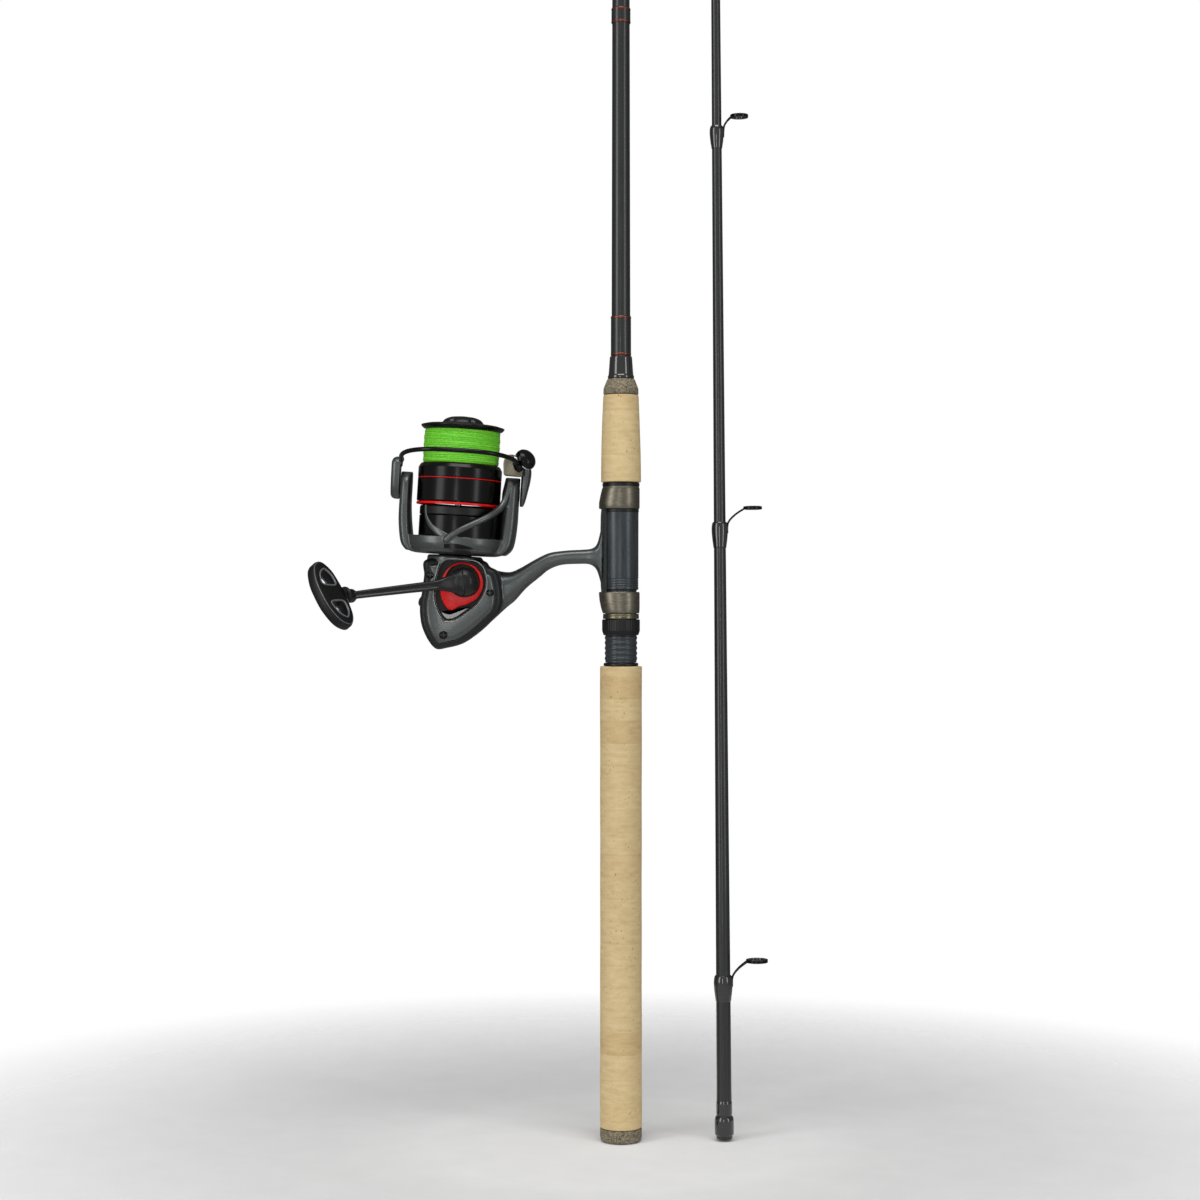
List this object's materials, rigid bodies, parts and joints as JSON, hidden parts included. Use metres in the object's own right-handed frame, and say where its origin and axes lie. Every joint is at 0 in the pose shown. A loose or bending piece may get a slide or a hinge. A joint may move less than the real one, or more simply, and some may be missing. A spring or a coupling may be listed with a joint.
{
  "type": "spinning rod and reel",
  "caption": "Two-piece spinning rod with cork grips and a mounted spinning reel, its sections lying side by side, for casting and retrieving line.",
  "frame": {"origin": "centre of the butt cap's flat end", "axes": "+Z along the butt section towards the tip, the reel hangs on the -X side, the tip section stands on the +X side, the crank side of the reel faces -Y"},
  "size_m": [0.2774, 0.1092, 1.408],
  "materials": {
    "cork": "natural sanded cork",
    "composite_cork": "speckled composite cork",
    "black_plastic": "satin black",
    "gloss_black": "high gloss black",
    "seat": "satin dark grey",
    "hood_metal": "brushed gunmetal",
    "neck_metal": "dark gold",
    "carbon": "clear coated carbon blank",
    "copper_trim": "metallic copper",
    "guide_black": "black coated",
    "ceramic": "polished dark ceramic",
    "reel_metal": "satin gunmetal",
    "red_gloss": "gloss red",
    "steel": "bright steel",
    "gear_brass": "machined",
    "line": "braided green line",
    "rubber": "soft touch"
  },
  "bodies": {
    "rod_butt": {"butt_cap": "composite_cork", "rear_grip": "cork", "rear_grip_ring": "black_plastic", "reel_seat_tube": "seat", "fixed_hood": "hood_metal", "foregrip": "cork", "foregrip_ring": "composite_cork", "winding_check": "gloss_black", "butt_blank": "carbon", "label_band": "copper_trim", "stripper_trim_band": "copper_trim", "butt_guide_1_frame": "guide_black", "butt_guide_1_ring": "ceramic", "butt_guide_2_frame": "guide_black", "butt_guide_2_ring": "ceramic", "reel_body": "reel_metal", "side_cover": "reel_metal", "hub_shield": "red_gloss", "cover_screw": "gloss_black", "opposite_side_cap": "gloss_black", "main_bearing": "steel", "one_way_clutch": "steel"},
    "hood": {"sliding_hood": "hood_metal", "hood_neck_ring": "neck_metal"},
    "nut": {"lock_nut": "black_plastic"},
    "tip_section": {"tip_blank": "carbon", "ferrule_band": "gloss_black", "tip_guide_1_frame": "guide_black", "tip_guide_1_ring": "ceramic", "tip_guide_2_frame": "guide_black", "tip_guide_2_ring": "ceramic", "tip_guide_3_frame": "guide_black", "tip_guide_3_ring": "ceramic", "tip_guide_4_frame": "guide_black", "tip_guide_4_ring": "ceramic", "tip_guide_5_frame": "guide_black", "tip_guide_5_ring": "ceramic", "tip_guide_6": "guide_black", "tip_top": "guide_black"},
    "handle": {"drive_gear": "gear_brass", "crank_arm": "guide_black"},
    "knob_body": {"knob": "rubber"},
    "slow_gear": {"oscillation_gear": "gear_brass"},
    "rotor_body": {"rotor": "reel_metal", "rotor_cup": "gloss_black", "rotor_nut": "steel", "pinion": "gear_brass"},
    "bail": {"bail_wire": "guide_black", "bail_lever": "reel_metal", "bail_arm": "hood_metal", "roller_cover": "gloss_black"},
    "roller": {"line_roller": "steel"},
    "shaft": {"main_shaft": "steel", "crosshead": "steel"},
    "spool_body": {"spool": "gloss_black", "skirt_trim_ring": "red_gloss", "braided_line": "line", "drag_washers": "carbon"},
    "drag_cap": {"drag_knob": "black_plastic"},
    "reverse_lever": {"anti_reverse_lever": "black_plastic"}
  },
  "joints": [
    {"name": "hood_slide", "type": "slide", "parent": "rod_butt", "child": "hood", "axis": [0, 0, -1], "range_m": [0, 0.008]},
    {"name": "nut_turn", "type": "hinge", "parent": "hood", "child": "nut", "pos_m": [0, 0, 0.318], "axis": [0, 0, -1], "range_deg": [0, 900]},
    {"name": "tip_section_lift", "type": "slide", "parent": "rod_butt", "child": "tip_section", "axis": [-0.0077, 0, 1], "range_m": [0, 0.3]},
    {"name": "handle_spin", "type": "hinge", "parent": "rod_butt", "child": "handle", "pos_m": [-0.09585, 0, 0.34581], "axis": [0, -1, 0], "continuous": true},
    {"name": "knob_spin", "type": "hinge", "parent": "handle", "child": "knob_body", "pos_m": [-0.16299, -0.052, 0.33749], "axis": [-0.5883, -0.8087, 0.0059], "continuous": true},
    {"name": "slow_gear_spin", "type": "hinge", "parent": "rod_butt", "child": "slow_gear", "pos_m": [-0.10081, 0, 0.33028], "axis": [0, -1, 0], "continuous": true},
    {"name": "rotor_spin", "type": "hinge", "parent": "rod_butt", "child": "rotor_body", "pos_m": [-0.10237, 0, 0.37025], "axis": [0.061, 0, 0.9981], "continuous": true},
    {"name": "bail_flip", "type": "hinge", "parent": "rotor_body", "child": "bail", "pos_m": [-0.10042, 0, 0.40219], "axis": [-0.9981, 0, 0.061], "range_deg": [0, 110]},
    {"name": "line_roller_spin", "type": "hinge", "parent": "bail", "child": "roller", "pos_m": [-0.06518, -0.0018, 0.42148], "axis": [0.9981, 0, -0.061], "continuous": true},
    {"name": "spool_oscillate", "type": "slide", "parent": "rod_butt", "child": "shaft", "axis": [0.061, 0, 0.9981], "range_m": [-0.018, 0]},
    {"name": "drag_slip", "type": "hinge", "parent": "shaft", "child": "spool_body", "pos_m": [-0.09902, 0, 0.42515], "axis": [0.061, 0, 0.9981], "continuous": true},
    {"name": "drag_knob_turn", "type": "hinge", "parent": "shaft", "child": "drag_cap", "pos_m": [-0.09792, 0, 0.44312], "axis": [0.061, 0, 0.9981], "range_deg": [0, 540]},
    {"name": "anti_reverse_flip", "type": "hinge", "parent": "rod_butt", "child": "reverse_lever", "pos_m": [-0.12162, 0.0215, 0.33396], "axis": [0, 1, 0], "range_deg": [0, 25]}
  ],
  "couplings": [
    {"joint": "hood_slide", "follows": "nut_turn", "m_per_rad": 0.0005093},
    {"joint": "rotor_spin", "follows": "handle_spin", "ratio": 5},
    {"joint": "slow_gear_spin", "follows": "handle_spin", "ratio": -0.5}
  ]
}
